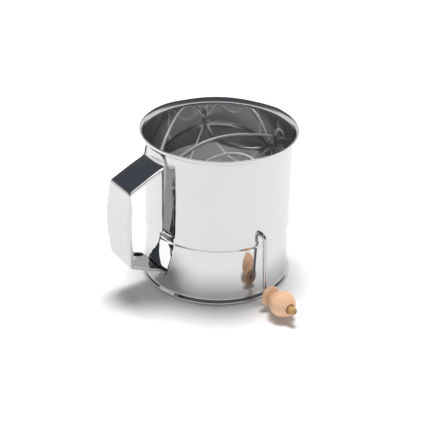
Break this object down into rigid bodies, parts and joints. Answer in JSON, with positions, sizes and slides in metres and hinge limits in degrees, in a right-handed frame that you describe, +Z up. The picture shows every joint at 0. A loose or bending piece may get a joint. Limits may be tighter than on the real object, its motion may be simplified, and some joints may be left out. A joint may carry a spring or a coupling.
{
  "type": "rotary flour sifter",
  "caption": "Open steel sifter can with a strap handle, a mesh dome inside, and a wire agitator turned by a side crank with a turned wooden knob.",
  "frame": {"origin": "on the standing plane, under the centre of the whole outline seen from above", "axes": "+Z up along the can's axis, crank shaft along Y with the knob on the -Y side, handle towards -X"},
  "size_m": [0.1424, 0.154, 0.1159],
  "materials": {
    "polished_steel": "mirror-polished stainless steel sheet",
    "steel_wire": "bright drawn stainless wire",
    "woven_mesh": "woven stainless wire cloth",
    "beech": "turned beech, waxed",
    "beech_end": "end-grain beech plug, darker"
  },
  "bodies": {
    "can": {"can_body": "polished_steel", "handle": "polished_steel", "screen_hoop": "steel_wire", "screen_mesh": "woven_mesh"},
    "crank": {"crank_rod": "steel_wire", "front_hub": "steel_wire", "rear_hub": "steel_wire", "front_washer": "steel_wire", "rear_washer": "steel_wire", "agitator_wire_1": "steel_wire", "agitator_wire_2": "steel_wire", "agitator_wire_3": "steel_wire", "agitator_wire_4": "steel_wire", "knob_push_nut": "steel_wire"},
    "knob": {"crank_knob": "beech", "knob_end_plug": "beech_end"}
  },
  "joints": [
    {"name": "crank_spin", "type": "hinge", "parent": "can", "child": "crank", "pos_m": [0.01427, 0.02005, 0.054], "axis": [0, -1, 0], "continuous": true},
    {"name": "knob_spin", "type": "hinge", "parent": "crank", "child": "knob", "pos_m": [0.01427, -0.06285, 0.0112], "axis": [0, -0.9969, 0.0785], "continuous": true}
  ]
}
